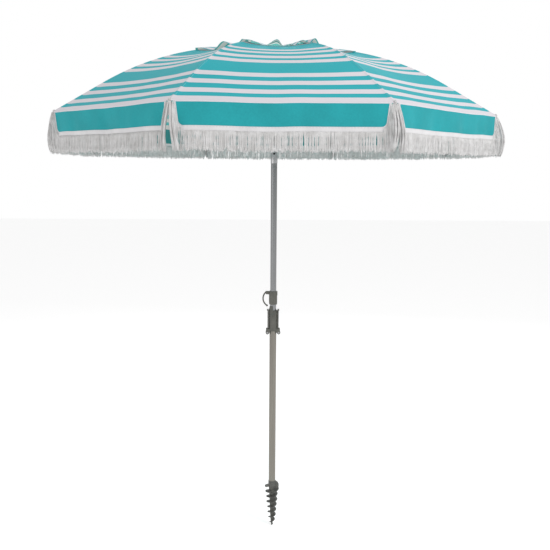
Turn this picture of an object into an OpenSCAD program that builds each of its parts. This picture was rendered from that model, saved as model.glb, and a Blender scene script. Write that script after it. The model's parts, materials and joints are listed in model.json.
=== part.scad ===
// Tilting beach umbrella: eight ribs, fringed canopy, two-part pole and sand auger.
// Millimetres, +Z up. The origin is the tip of the auger, on the axis of the pole.
// The middle of the front panel faces -Y and the bag hook is on the -X side.

/* [Canopy] */
// Distance from the pole's axis to a rib's tip, open
canopy_radius = 923; // [700:1:1150]
// Radius that the ribs are bent to
rib_bend_radius = 1200; // [1000:10:1500]
// Straight length of a rib before its bend
rib_straight = 112; // [60:1:200]
// Angle through which a rib is bent
rib_bend_angle = 31.5; // [22:0.5:34]
// Thickness of the rib wire
rib_wire_d = 4.5; // [3.5:0.5:6]
// Thickness of the cloth's solid
cloth_t = 1.2; // [1:0.1:3]
// How far the cloth sags between two ribs, halfway down a panel
cloth_sag = 12; // [0:1:30]
// Radius of the vent cap's edge
vent_radius = 360; // [250:1:450]
// How far the vent cap stands above the panels, between two ribs
vent_rise = 16; // [4:1:30]
// How far the vent cap's edge overlaps the panels
vent_overlap = 70; // [30:1:120]
// Height of the valance with its fringe
valance_h = 154; // [80:1:220]
// Radius of a valance flap's lower corners
flap_corner = 70; // [20:1:90]
// Gap between two flaps, at a rib's tip
flap_gap = 24; // [16:1:60]

/* [Poles] */
// Diameter of the upper and top tubes
upper_d = 28; // [23:0.5:34]
// Wall of the upper and top tubes
upper_wall = 1.2; // [0.8:0.1:2]
// Wall of the lower tube
lower_wall = 1.5; // [1:0.1:3]
// Free room between the upper tube and the lower one, on the radius
tube_play = 0.5; // [0.3:0.1:1]
// Length of the lower tube above the auger
lower_len = 815; // [500:1:1000]
// Length of upper tube that shows above the handle housing
upper_show = 693; // [500:1:900]
// Length of upper tube inside the lower one, in the lowest position
upper_insert = 447; // [380:1:500]
// Length of top tube below the stretcher hinges, open
top_foot = 72; // [66:1:160]
// Distance between two height stops
height_step = 50; // [40:5:60]
// Number of height steps above the lowest position
height_steps = 6; // [3:1:6]

/* [Auger] */
// Length of the auger below the lower tube
auger_h = 232; // [150:1:320]
// Distance between two turns of the auger
auger_pitch = 27; // [20:1:40]
// Thickness of the auger's blade at its edge
blade_t = 2; // [1:0.5:4]

/* [Fold-out handles] */
// Height of the handle housing
housing_h = 96; // [80:1:130]
// Wall of the housing around the lower tube
housing_wall = 3.75; // [3:0.25:6]
// Thickness of a handle's bar
bar_t = 5.2; // [4:0.1:7]
// Width of a handle's bar
bar_w = 24; // [20:1:30]
// Width of a handle's neck between its ears
neck_w = 19.4; // [14:0.2:24]
// Diameter of a handle's hinge pin
handle_pin_d = 6; // [4:0.5:7]

/* [Hook collar] */
// Height of the collar
collar_h = 61; // [40:1:80]
// Wall of the collar
collar_wall = 4.5; // [3:0.25:6]
// Gap between the housing and the collar
collar_gap = 28; // [10:1:60]
// Radius of the bag hook's curve
hook_r = 39.5; // [30:0.5:50]
// Thickness of the bag hook
hook_d = 6.4; // [5:0.2:9]

/* [Tilt joint] */
// Wall of the socket around the upper tube
socket_wall = 1.2; // [1:0.1:3]
// Diameter of the tilt joint's pin
tilt_pin_d = 6; // [5:0.5:7]
// Largest tilt
tilt_max = 35; // [20:5:35]
// Thickness of the tongue that tilts in the socket
tongue_t = 10; // [8:0.5:12]
// Diameter of the tilt button
tilt_button_d = 10; // [7:0.5:11]

/* [Hub and runner] */
// Distance from the pole's surface to the ring of rib hinges
hub_pivot_out = 6; // [5:0.5:12]
// Height of the hub
hub_h = 17; // [14:1:24]
// Distance from the runner's bore to the ring of stretcher hinges
runner_pivot_out = 6.4; // [6:0.2:12]
// Distance from the rib hinges down to the stretcher hinges, open
runner_drop = 330; // [300:1:350]
// Distance from the pole's axis to a stretcher's rib end, open
bracket_r = 400; // [380:1:410]
// Thickness of a stretcher's rod
stretcher_d = 5; // [4:0.5:6]
// Length of the fork at a stretcher's rib end
fork_len = 80; // [80:1:110]
// Width of a rib's bracket
bracket_w = 7; // [6:0.5:9]

/* [Hidden] */
RIBS = 8;
HALF = 180 / RIBS;
$fn = 64;
eps = 0.01;
// clearances
fit = 0.05;      // pieces that are pushed together and stay
run = 0.08;      // shafts and sliding tubes
side = 0.3;      // beside a piece that turns in a slot
eye_r = 3.9;     // eye of a rib or stretcher
eye_hole_r = 1.5;
eye_w = 5.4;
wire_r = 1.2;    // ring of wire that the eyes turn on
slot_w = eye_w + 2 * side;
sleeve_len = 12; // crimped sleeves where a rib's bend starts and ends
sleeve_r = rib_wire_d / 2 + 0.6;
cloth_clear = 1.95;  // from a rib's sleeves up to the cloth
cut = 0.1;       // half of a fine cut between two closed pieces of cloth
// heights, from the auger's tip up
upper_r = upper_d / 2;
lower_bore_r = upper_r + tube_play;
lower_r = lower_bore_r + lower_wall;
lower_top = auger_h + lower_len;
housing_seat = 81;                         // lower tube inside the housing
housing_z = lower_top - housing_seat;
housing_top = housing_z + housing_h;
housing_r = lower_r + housing_wall;
collar_z = housing_top + collar_gap;
collar_top = collar_z + collar_h;
upper_top = housing_top + upper_show;
upper_bottom = lower_top - upper_insert;
socket_seat = 27;                          // upper tube inside the tilt socket
socket_z = upper_top - socket_seat;
socket_r = upper_r + socket_wall;
tilt_z = upper_top + 30;
ear_r = 13.5;                              // rounded top of the socket's ears
flange_t = 3;                              // flange of the tongue under the top tube
top_z = tilt_z + ear_r + 0.5 + flange_t;
hub_rise = 16;                             // from the top tube's end to the rib hinges
top_len = top_foot + runner_drop - hub_rise;
hub_pivot_r = upper_r + hub_pivot_out;
hub_pivot_z = top_z + top_len + hub_rise;
runner_z = hub_pivot_z - runner_drop;
runner_low = runner_z - 26;
runner_high = runner_z + 9;
crown_z = hub_pivot_z + sleeve_r + cloth_clear + cloth_t;  // top face of the cloth over the hub
// the fold-out handles
hinge_x = housing_r + 6.25;
hinge_z = housing_z - 8;
lug_r = 8;
lug_t = 4;
bar_x = housing_r + 0.5;
bar_top = housing_top + 4;
// the height lock, on the front of the housing
lock_z = lower_top - 37;                   // stop hole
button_z = lock_z + 22;
lock_r = 3.5;
stop_r = 4;
pad_y = housing_r + 1.7;                   // front face of the lock's raised pad
seat_y = lower_r + 3.4;                    // floor of the button's seat
button_r = 5.5;
stem_r = 3.8;
// the tilt button passes the runner in a groove
tilt_button_z = tilt_z - 15;
tilt_button_out = 2.3;
runner_bore_r = socket_r + 0.4;
runner_pivot_r = runner_bore_r + runner_pivot_out;
groove_r = socket_r + tilt_button_out + 0.7;
runner_wall_r = runner_bore_r + 4.6;

function rib_angle(k) = 270 - HALF + (k - 1) * 360 / RIBS;
// drop of a rib, and of the cloth over it, at a distance r from the axis
bend_end = rib_straight + rib_bend_radius * sin(rib_bend_angle);
function drop(r) =
    r <= rib_straight ? 0 :
    r <= bend_end ? rib_bend_radius - sqrt(pow(rib_bend_radius, 2) - pow(r - rib_straight, 2)) :
    rib_bend_radius * (1 - cos(rib_bend_angle)) + (r - bend_end) * tan(rib_bend_angle);
function slope(r) =
    r <= rib_straight ? 0 : r <= bend_end ? asin((r - rib_straight) / rib_bend_radius) : rib_bend_angle;
// sag of the cloth: most about halfway down, little at the hem and at the crown
function sag(r) = cloth_sag * sin(180 * pow(r / canopy_radius, 0.85)) + 2 * r / canopy_radius;
// a point of the cloth on side m of a rib along +X: u is 0 at the rib and 1 at the panel's middle
function cloth_point(r, m, u, up) =
    let (across = cut + u * (r * sin(HALF) - side - cut))
    [r - across * sin(HALF), m * across * cos(HALF),
     crown_z - drop(r) - sag(r) * (1 - pow(1 - u, 2)) + up];
// faces of a closed sheet: rows of top points first, then rows of bottom points
function sheet_faces(rows, cols) =
    let (n = rows * cols)
    concat(
        [for (i = [0:rows-2], j = [0:cols-2]) let (a = i * cols + j) [a, a + 1, a + cols + 1]],
        [for (i = [0:rows-2], j = [0:cols-2]) let (a = i * cols + j) [a, a + cols + 1, a + cols]],
        [for (i = [0:rows-2], j = [0:cols-2]) let (a = n + i * cols + j) [a, a + cols + 1, a + 1]],
        [for (i = [0:rows-2], j = [0:cols-2]) let (a = n + i * cols + j) [a, a + cols, a + cols + 1]],
        [for (j = [0:cols-2]) [j, j + n, j + 1]],
        [for (j = [0:cols-2]) [j + 1, j + n, j + n + 1]],
        [for (j = [0:cols-2]) let (a = n - cols + j) [a, a + 1, a + n]],
        [for (j = [0:cols-2]) let (a = n - cols + j) [a + 1, a + n + 1, a + n]],
        [for (i = [0:rows-2]) let (a = i * cols) [a, a + cols, a + n]],
        [for (i = [0:rows-2]) let (a = i * cols) [a + cols, a + cols + n, a + n]],
        [for (i = [0:rows-2]) let (a = i * cols + cols - 1) [a, a + n, a + cols]],
        [for (i = [0:rows-2]) let (a = i * cols + cols - 1) [a + cols, a + n, a + cols + n]]);
module sheet(top, bottom) {
    rows = len(top);
    cols = len(top[0]);
    polyhedron(concat([for (row = top) each row], [for (row = bottom) each row]),
               sheet_faces(rows, cols), convexity = 6);
}

module rod(r, z0, z1) { translate([0, 0, z0]) cylinder(r = r, h = z1 - z0); }
module pipe(r_out, r_in, z0, z1) {
    difference() {
        rod(r_out, z0, z1);
        rod(r_in, z0 - 1, z1 + 1);
    }
}
// a cylinder along Y, from y0 to y1
module rod_y(r, x, z, y0, y1) {
    translate([x, y0, z]) rotate([-90, 0, 0]) cylinder(r = r, h = y1 - y0);
}
// a block given by its two corners
module block(a, b) { translate(a) cube(b - a); }

// ---- lower pole
spigot_h = 60;
module lower_tube() {
    color([0.60, 0.59, 0.57]) difference() {
        pipe(lower_r, lower_bore_r, auger_h, lower_top);
        rod_y(stop_r, 0, lock_z, -lower_r - 1, 0);
    }
}
core = [[0, 0], [8, 2], [35, 4.5], [60, 6.75], [100, 10], [155, 14.5], [200, 16]];
blade = [[6, 3], [17, 12], [40, 17], [70, 21], [110, 23], [127, 27], [165, 27], [190, 34], [210, 35]];
auger_k = auger_h / 232;                   // the outlines are drawn for an auger of 232
function core_r(z) = lookup(z / auger_k, core) * lower_r / 16;
function blade_r(z) = lookup(z / auger_k, blade) * lower_r / 16;
blade_steps = 16;
blade_turns = floor((auger_h - 34) / auger_pitch * 2) / 2;
module auger() {
    z0 = 8 * auger_k;
    rings = blade_turns * blade_steps;
    points = [for (i = [0:rings])
        let (a = i * 360 / blade_steps, z = z0 + i * auger_pitch / blade_steps,
             r_in = max(core_r(z) - 1.5, 0.4), r_out = max(blade_r(z), r_in + 0.5), h = blade_t / 2)
        each [[r_in * cos(a), r_in * sin(a), z - 2 * h], [r_out * cos(a), r_out * sin(a), z - h],
              [r_out * cos(a), r_out * sin(a), z + h], [r_in * cos(a), r_in * sin(a), z + 2 * h]]];
    last = rings * 4;
    faces = concat(
        [for (i = [0:rings-1], j = [0:3]) let (a = i * 4 + j, b = i * 4 + (j + 1) % 4) [a, b, b + 4]],
        [for (i = [0:rings-1], j = [0:3]) let (a = i * 4 + j, b = i * 4 + (j + 1) % 4) [a, b + 4, a + 4]],
        [[0, 2, 1], [0, 3, 2], [last, last + 1, last + 2], [last, last + 2, last + 3]]);
    color([0.36, 0.36, 0.34]) union() {
        rotate_extrude() polygon(concat(
            [for (p = core) [p[1] * lower_r / 16, p[0] * auger_k]],
            [[lower_r, auger_h], [lower_bore_r - fit, auger_h],
             [lower_bore_r - fit, auger_h + spigot_h], [0, auger_h + spigot_h]]));
        polyhedron(points, faces, convexity = 10);
    }
}
module lug(s) {
    for (y = [-neck_w / 2 - side - lug_t, neck_w / 2 + side])
        difference() {
            union() {
                rod_y(lug_r, s * hinge_x, hinge_z, y, y + lug_t);
                translate([s * (lower_r + 2 + hinge_x) / 2, y + lug_t / 2, hinge_z + 9])
                    cube([hinge_x - lower_r - 2 + 2 * 6, lug_t, 18], center = true);
            }
            rod_y(handle_pin_d / 2 + fit, s * hinge_x, hinge_z, y - 1, y + lug_t + 1);
        }
}
module handle_housing() {
    color([0.46, 0.46, 0.42]) difference() {
        union() {
            rod(housing_r, housing_z, housing_top);
            // shoulder that rises to the upper tube on the hook's side
            intersection() {
                translate([0, 0, housing_top])
                    cylinder(r1 = housing_r, r2 = upper_r + 1.4, h = 20);
                block([-60, -60, housing_top], [-2, 60, housing_top + 30]);
            }
            block([-9, -pad_y, lock_z - 12], [9, 0, button_z + 12]);
            for (s = [-1, 1]) lug(s);
        }
        rod(lower_r + fit, housing_z - 30, lower_top);
        rod(upper_r + run, lower_top - 1, housing_top + 40);
        // pocket of the lock's spring, with the hole of its nose, and the seat of the button
        block([-4, -lower_r - 2.6, lock_z - 8], [4, 0, button_z + 8]);
        rod_y(button_r + run, 0, button_z, -pad_y - 1, -seat_y);
        rod_y(stem_r + run, 0, button_z, -pad_y, -lower_r);
    }
}
pin_head = 1.2;
pin_half = neck_w / 2 + side + lug_t + pin_head;
module handle_pins() {
    color("silver") for (s = [-1, 1]) union() {
        rod_y(handle_pin_d / 2, s * hinge_x, hinge_z, -pin_half, pin_half);
        for (y = [-pin_half, pin_half - pin_head + fit])
            rod_y(handle_pin_d / 2 + 1.3, s * hinge_x, hinge_z, y, y + pin_head - fit);
    }
}
module handle(s) {
    x0 = s > 0 ? bar_x : -bar_x - bar_t;
    neck_top = housing_z + 15;
    lip_x = s > 0 ? bar_x + bar_t - 1 : -bar_x - bar_t - 2.5;
    difference() {
        union() {
            rod_y(lug_r - 0.4, s * hinge_x, hinge_z, -neck_w / 2, neck_w / 2);
            block([x0, -neck_w / 2, hinge_z], [x0 + bar_t, neck_w / 2, neck_top + 1]);
            block([x0, -bar_w / 2, neck_top], [x0 + bar_t, bar_w / 2, bar_top]);
            block([lip_x, -bar_w / 2, bar_top - 5], [lip_x + 3.5, bar_w / 2, bar_top]);
        }
        rod_y(handle_pin_d / 2 + run, s * hinge_x, hinge_z, -neck_w, neck_w);
        // finger groove down the outer face
        for (z = [0:2])
            rod_y(2.2, s * (bar_x + bar_t + 1), neck_top + 18 + z * 20, -bar_w, bar_w);
    }
}
module handle_left() { color([0.42, 0.42, 0.39]) handle(-1); }
module handle_right() { color([0.42, 0.42, 0.39]) handle(1); }
button_front = pad_y + 2.2;
button_travel = 2.5;
button_back = seat_y + button_travel + 0.2;
module height_button() {
    color([0.30, 0.30, 0.28]) union() {
        rod_y(button_r, 0, button_z, -button_front, -button_back);
        rod_y(stem_r, 0, button_z, -button_back - 0.5, -lower_r - 2.7);
    }
}
module height_spring() {
    color("gainsboro") union() {
        block([-3, -lower_r - 2.4, lock_z - 7], [3, -lower_r - 1.6, button_z + 7]);
        rod_y(lock_r, 0, lock_z, -lower_r - 2.2, -upper_r + upper_wall + 0.4);
    }
}

// ---- upper pole
module upper_tube() {
    color([0.72, 0.73, 0.74]) difference() {
        pipe(upper_r, upper_r - upper_wall, upper_bottom, upper_top);
        for (i = [0:height_steps])
            rod_y(stop_r, 0, lock_z - i * height_step, -upper_d, 0);
    }
}
collar_r = upper_r + collar_wall;
hook_x = -7;
hook_start = 124;                          // angles of the hook's curve, from +X
hook_turn = 113;
hook_z = collar_top - hook_r * sin(hook_start) - 1.25;
screw_z = collar_top - 9;
screw_out = collar_r + 1.5;                // from the pole's axis to the clamp screw's
screw_r = 2;
ball_r = 4.7;
module hook_collar() {
    color([0.44, 0.45, 0.41]) difference() {
        union() {
            rod(collar_r, collar_z, collar_top);
            // clamp at the back, and a flat boss on either side
            block([-9, upper_r, collar_top - 18], [9, screw_out + 4, collar_top]);
            block([upper_r + 1, -6, collar_top - 19], [collar_r + 0.8, 6, collar_top]);
            block([-collar_r - 0.6, -5, collar_z + 8], [-upper_r - 1, 5, collar_top]);
            // gusset at the root of the hook
            translate([0, 3, 0]) rotate([90, 0, 0]) linear_extrude(6)
                polygon([[-upper_r - 2, collar_top], [hook_x - hook_r * 0.68, collar_top],
                         [hook_x - hook_r * 0.83, collar_top - 9], [-collar_r - 12, collar_top - 15],
                         [-upper_r - 2, collar_top - 15]]);
            translate([hook_x, 0, hook_z]) rotate([90, 0, 0]) rotate([0, 0, hook_start])
                rotate_extrude(angle = hook_turn, $fn = 96)
                    translate([hook_r, 0]) circle(d = hook_d, $fn = 32);
            translate([hook_x + hook_r * cos(hook_start + hook_turn), 0,
                       hook_z + hook_r * sin(hook_start + hook_turn)]) sphere(ball_r);
        }
        rod(upper_r + fit, collar_z - 1, collar_top + 1);
        block([-1, 0, collar_z - 1], [1, collar_r + 20, collar_top + 1]);
        translate([-20, screw_out, screw_z]) rotate([0, 90, 0]) cylinder(r = screw_r + fit, h = 40);
    }
}
module collar_screw() {
    color("silver") translate([0, screw_out, screw_z]) rotate([0, 90, 0]) union() {
        rod(screw_r, -10, 12.5);
        rod(3.5, -11.6, -9 - eps);
        translate([0, 0, 9 + eps]) cylinder(r = 3.8, h = 3, $fn = 6);
    }
}
tilt_gap = tongue_t / 2 + side;
module tilt_socket() {
    color([0.80, 0.80, 0.80]) difference() {
        union() {
            rod(socket_r, socket_z, tilt_z);
            intersection() {
                rod(socket_r, tilt_z - 5, tilt_z + ear_r + 1);
                rod_y(ear_r, 0, tilt_z, -20, 20);
            }
        }
        rod(upper_r + fit, socket_z - 1, upper_top);
        block([-30, -tilt_gap, tilt_z - 20], [30, tilt_gap, tilt_z + 30]);
        rod_y(tilt_pin_d / 2 + fit, 0, tilt_z, -30, 30);
        rod_y(tilt_button_d / 2 + run, 0, tilt_button_z, -30, 0);
    }
}
module tilt_pin() {
    color("silver") union() {
        rod_y(tilt_pin_d / 2, 0, tilt_z, -socket_r + 0.4, socket_r - 0.4);
    }
}
tilt_travel = 1.5;
module tilt_button() {
    color([0.18, 0.18, 0.18]) union() {
        rod_y(tilt_button_d / 2, 0, tilt_button_z, -socket_r - tilt_button_out, -tilt_gap - tilt_travel);
    }
}

// ---- top pole
catch_h = 34;                              // height of the catch that holds the runner up
module top_tube() {
    color([0.72, 0.73, 0.74]) difference() {
        pipe(upper_r, upper_r - upper_wall, top_z, top_z + top_len);
        block([-3.3, 0, runner_low - catch_h - 2], [3.3, 20, runner_low - 0.2]);
    }
}
tail_r = 19;
detent_r = 15;
module tilt_tongue() {
    half = tongue_t / 2;
    color([0.55, 0.55, 0.56]) difference() {
        union() {
            rod(upper_r - upper_wall - fit, top_z - 1, top_z + 10);
            rod(upper_r, top_z - flange_t, top_z - eps);
            rod_y(9, 0, tilt_z, -half, half);
            block([-9, -half, tilt_z], [9, half, top_z - 1]);
            // tail that the lock holds, upright or tilted
            intersection() {
                rod_y(tail_r, 0, tilt_z, -half, half);
                block([-5, -half, tilt_z - tail_r - 1], [14.5, half, tilt_z]);
            }
        }
        rod_y(tilt_pin_d / 2 + run, 0, tilt_z, -20, 20);
        for (a = [0:tilt_max/2:tilt_max])
            rod_y(1.5, detent_r * sin(a), tilt_z - detent_r * cos(a), -20, 20);
    }
}
hub_r = hub_pivot_r + 7;
hub_top = crown_z - 3;
cap_stem_r = 3;
module wire_ring(pivot_r, z) {
    rotate_extrude($fn = 96) translate([pivot_r, z]) circle(r = wire_r, $fn = 24);
}
module hub() {
    color([0.25, 0.26, 0.26]) union() {
        difference() {
            union() {
                rod(hub_r, hub_top - hub_h, hub_top);
                rod(upper_r - upper_wall - fit, top_z + top_len - 30, hub_top - hub_h + 1);
                rod(upper_r + 2.5, top_z + top_len + eps, hub_top - hub_h + 1);
            }
            for (k = [1:RIBS]) rotate([0, 0, rib_angle(k)])
                block([hub_pivot_r - eye_r - 1, -slot_w / 2, hub_top - hub_h - 5],
                      [hub_r + 5, slot_w / 2, hub_top + 5]);
            rod(cap_stem_r + fit, top_z + top_len, hub_top + 5);
        }
        wire_ring(hub_pivot_r, hub_pivot_z);
    }
}
cap_r = hub_pivot_r + 1;
cap_z = crown_z + 3.2;
module top_cap() {
    color([0.25, 0.26, 0.26]) union() {
        rod(cap_stem_r, top_z + top_len + 1, cap_z + 1);
        rod(cap_r, cap_z, cap_z + 2.5);
        intersection() {
            translate([0, 0, cap_z + 2.5 + 8 - 32]) sphere(32, $fn = 96);
            rod(cap_r, cap_z + 1, cap_z + 20);
        }
    }
}
module runner() {
    color([0.25, 0.26, 0.26]) union() {
        difference() {
            union() {
                rod(runner_wall_r, runner_low, runner_high);
                rod(runner_pivot_r + 6, runner_z - 8, runner_high);
                rod(runner_wall_r + 3, runner_low, runner_low + 4);
            }
            rod(runner_bore_r, runner_low - 1, runner_high + 1);
            // groove that passes the tilt button
            intersection() {
                rod(groove_r, runner_low - 1, runner_high + 1);
                block([-tilt_button_d / 2 - 1, -40, runner_low - 1],
                      [tilt_button_d / 2 + 1, 0, runner_high + 1]);
            }
            for (k = [1:RIBS]) rotate([0, 0, rib_angle(k)])
                block([runner_pivot_r - eye_r - 0.6, -slot_w / 2, runner_z - 9],
                      [runner_pivot_r + 12, slot_w / 2, runner_high + 1]);
        }
        wire_ring(runner_pivot_r, runner_z);
    }
}
module runner_catch() {
    color("gainsboro") translate([0, 0, runner_low]) rotate([90, 0, 90])
        translate([0, 0, -3]) linear_extrude(6)
            polygon([[upper_r - upper_wall - 2, -catch_h], [upper_r - upper_wall - 1, -catch_h],
                     [runner_bore_r + 2.4, -3.4], [runner_bore_r + 2.4, -0.4],
                     [upper_r - upper_wall - 2, -0.4]]);
}

// ---- ribs, stretchers and cloth, each drawn along +X and turned to its place
bracket_turn = slope(bracket_r);
bracket_rib_z = hub_pivot_z - drop(bracket_r);
link_drop = 12;                            // from a rib's axis down to its stretcher hinge
link_x = bracket_r;
link_z = bracket_rib_z - link_drop;
module rib(k) {
    wire = rib_wire_d / 2;
    tail = (canopy_radius - bend_end) / cos(rib_bend_angle) - 6;
    end_z = hub_pivot_z - drop(bend_end);
    color([0.78, 0.79, 0.80]) rotate([0, 0, rib_angle(k)]) difference() {
        union() {
            rod_y(eye_r, hub_pivot_r, hub_pivot_z, -eye_w / 2, eye_w / 2);
            translate([hub_pivot_r, 0, hub_pivot_z]) rotate([0, 90, 0])
                cylinder(r = wire, h = rib_straight - hub_pivot_r - 0.2);
            translate([rib_straight, 0, hub_pivot_z - rib_bend_radius]) rotate([90, 0, 0])
                rotate([0, 0, 90 - rib_bend_angle]) rotate_extrude(angle = rib_bend_angle, $fn = 180)
                    translate([rib_bend_radius, 0]) circle(wire, $fn = 32);
            translate([bend_end, 0, end_z]) rotate([0, 90 + rib_bend_angle, 0])
                rod(wire, 0.2, tail);
            translate([rib_straight, 0, hub_pivot_z]) rotate([0, 90, 0])
                rod(sleeve_r, -sleeve_len / 2, sleeve_len / 2);
            translate([bend_end, 0, end_z]) rotate([0, 90 + rib_bend_angle, 0])
                rod(sleeve_r, -sleeve_len / 2, sleeve_len / 2);
            translate([link_x, 0, bracket_rib_z]) rotate([0, bracket_turn, 0])
                block([-9, -bracket_w / 2, -wire - 3], [9, bracket_w / 2, wire + 0.6]);
            rod_y(4.2, link_x, link_z, -bracket_w / 2, bracket_w / 2);
            block([link_x - 4, -bracket_w / 2, link_z], [link_x + 4, bracket_w / 2, bracket_rib_z - 1]);
        }
        rod_y(eye_hole_r + 0.3, hub_pivot_r, hub_pivot_z, -5, 5);
        rod_y(eye_hole_r, link_x, link_z, -6, 6);
    }
}
tip_len = 20;
module rib_tip(k) {
    wire = rib_wire_d / 2;
    color([0.15, 0.16, 0.16]) rotate([0, 0, rib_angle(k)])
        translate([canopy_radius, 0, hub_pivot_z - drop(canopy_radius)])
            rotate([0, 90 + rib_bend_angle, 0]) difference() {
                union() {
                    rod(wire + 1.2, -tip_len, 0);
                    sphere(wire + 1.2);
                }
                rod(wire + fit, -tip_len - 1, -6 + fit);
            }
}
fork_gap = bracket_w / 2 + 0.5;
fork_t = 1.6;
module stretcher(k) {
    dx = link_x - runner_pivot_r;
    dz = link_z - runner_z;
    long = sqrt(dx * dx + dz * dz);
    color([0.70, 0.71, 0.72]) rotate([0, 0, rib_angle(k)])
        translate([runner_pivot_r, 0, runner_z]) rotate([0, -atan2(dz, dx), 0]) difference() {
            union() {
                rod_y(eye_r, 0, 0, -eye_w / 2, eye_w / 2);
                rotate([0, 90, 0]) cylinder(d = stretcher_d, h = long - fork_len + 4);
                block([long - fork_len, -fork_gap - fork_t, -4.5],
                      [long - fork_len + 8, fork_gap + fork_t, 4.5]);
                for (y = [-fork_gap - fork_t, fork_gap]) {
                    block([long - fork_len, y, -4.5], [long, y + fork_t, 4.5]);
                    rod_y(4.5, long, 0, y, y + fork_t);
                }
                for (s = [-1, 1])
                    rod_y(2.6, long, 0, s > 0 ? fork_gap + 0.5 : -fork_gap - fork_t - 1,
                          s > 0 ? fork_gap + fork_t + 1 : -fork_gap - 0.5);
            }
            rod_y(eye_hole_r + 0.3, 0, 0, -5, 5);
        }
}
panel_in = vent_radius - vent_overlap;
cap_in = 8;
panel_bands = 3;
cap_bands = 2;
band_rows = 4;
half_cols = 4;
function cap_up(r, u) = 0.6 + cloth_t + vent_rise * u * min(1, pow(r / vent_radius, 2) * 1.1);
// a nearly flat closed piece of cloth on side m of a rib, from r0 to r1; the vent cap stands above the panel
module cloth_piece(m, r0, r1, cap) {
    rows = [for (i = [0:band_rows]) r0 + cut + (r1 - r0 - 2 * cut) * i / band_rows];
    cols = [for (j = [0:half_cols]) j / half_cols];
    top = [for (r = rows) [for (u = cols) cloth_point(r, m, u, cap ? cap_up(r, u) : 0)]];
    bottom = [for (row = top) [for (p = row) p - [0, 0, cloth_t]]];
    if (m > 0) sheet(top, bottom); else sheet(bottom, top);
}
module cloth_bands(r0, r1, bands, cap) {
    step = (r1 - r0) / bands;
    for (m = [-1, 1], i = [0:bands-1]) cloth_piece(m, r0 + i * step, r0 + (i + 1) * step, cap);
}
module canopy(k) {
    color([0.16, 0.68, 0.70]) rotate([0, 0, rib_angle(k)]) {
        cloth_bands(panel_in, canopy_radius, panel_bands, false);
        cloth_bands(cap_in, vent_radius, cap_bands, true);
    }
}
// half a flap: s runs from its side, beside the rib, to the middle of the panel
flap_cols = 6;
flap_rows = 3;
flap_half = canopy_radius * sin(HALF) - flap_gap / 2 - side;
function flap_at(j) = flap_half * pow(j / flap_cols, 1.4);
function flap_low(s) =
    s >= flap_corner ? valance_h :
    valance_h - flap_corner + sqrt(pow(flap_corner, 2) - pow(flap_corner - s, 2));
function flap_point(m, i, j, back) =
    let (s = flap_at(j), across = flap_gap / 2 + s,
         top = cloth_point(canopy_radius, m, across / (canopy_radius * sin(HALF)), -cloth_t - side),
         low = i / flap_rows * flap_low(s))
    [top[0] - 1 - back * cos(HALF), top[1] - m * back * sin(HALF), top[2] - low];
module valance(k) {
    color([0.86, 0.86, 0.87]) rotate([0, 0, rib_angle(k)]) for (m = [-1, 1]) {
        outer = [for (i = [0:flap_rows]) [for (j = [0:flap_cols]) flap_point(m, i, j, 0)]];
        inner = [for (i = [0:flap_rows]) [for (j = [0:flap_cols]) flap_point(m, i, j, cloth_t)]];
        if (m > 0) sheet(outer, inner); else sheet(inner, outer);
    }
}

lower_tube();
auger();
handle_housing();
handle_pins();
handle_left();
handle_right();
height_button();
height_spring();
upper_tube();
hook_collar();
collar_screw();
tilt_socket();
tilt_pin();
tilt_button();
top_tube();
tilt_tongue();
hub();
top_cap();
runner();
runner_catch();
for (k = [1:RIBS]) {
    rib(k);
    rib_tip(k);
    stretcher(k);
    canopy(k);
    valance(k);
}
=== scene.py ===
"""Looks of the beach umbrella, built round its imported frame.

Metres, +Z up, the auger's tip at the origin, the middle of the front panel towards -Y.
"""
import json
import math
import random

import bpy
from mathutils import Matrix, Quaternion, Vector


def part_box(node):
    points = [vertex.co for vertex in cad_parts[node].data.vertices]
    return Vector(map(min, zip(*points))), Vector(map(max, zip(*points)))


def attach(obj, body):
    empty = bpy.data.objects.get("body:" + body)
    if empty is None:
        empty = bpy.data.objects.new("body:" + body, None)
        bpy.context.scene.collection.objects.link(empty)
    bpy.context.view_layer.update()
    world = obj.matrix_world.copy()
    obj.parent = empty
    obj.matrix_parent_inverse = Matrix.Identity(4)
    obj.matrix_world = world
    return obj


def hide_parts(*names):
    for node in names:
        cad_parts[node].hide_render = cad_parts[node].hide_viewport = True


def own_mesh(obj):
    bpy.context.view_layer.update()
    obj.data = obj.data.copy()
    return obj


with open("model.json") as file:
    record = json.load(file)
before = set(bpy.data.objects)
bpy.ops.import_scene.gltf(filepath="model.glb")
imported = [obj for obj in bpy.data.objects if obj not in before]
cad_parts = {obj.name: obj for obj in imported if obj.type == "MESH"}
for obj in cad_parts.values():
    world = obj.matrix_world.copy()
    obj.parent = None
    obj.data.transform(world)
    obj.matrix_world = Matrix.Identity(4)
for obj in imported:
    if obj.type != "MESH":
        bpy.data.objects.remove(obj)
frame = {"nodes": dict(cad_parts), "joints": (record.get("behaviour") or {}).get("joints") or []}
NODES = frame["nodes"]
JOINTS = {j["name"]: j for j in frame["joints"]}
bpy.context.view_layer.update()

# ---- the canopy's measures, as its ribs and hinges have them
RIBS = range(1, 9)
HALF = math.pi / len(RIBS)
TIP = Vector(JOINTS["flap_swing_1"]["pos_m"])
RIM = TIP.xy.length                      # a rib's tip from the pole's axis
COVER = 0.006                            # the cloth over the ribs' hinges
CROWN_Z = JOINTS["rib_hinge_1"]["pos_m"][2] + COVER
STRAIGHT = 0.112                         # a rib's straight start, then its bend
BEND_R = 1.2
BEND = math.radians(31.5)
BEND_END = STRAIGHT + BEND_R * math.sin(BEND)
SAG = 0.012
CLOTH = 0.0005                           # thickness of the cloth
VENT_R = 0.36                            # edge of the vent cap
PANEL_IN = 0.29                          # the panels start under the vent cap
HEM = 0.013                              # the cloth runs on past the ribs' tips
EDGE = RIM + HEM
FLAP_H = 0.077                           # coloured part of a valance flap
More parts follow.
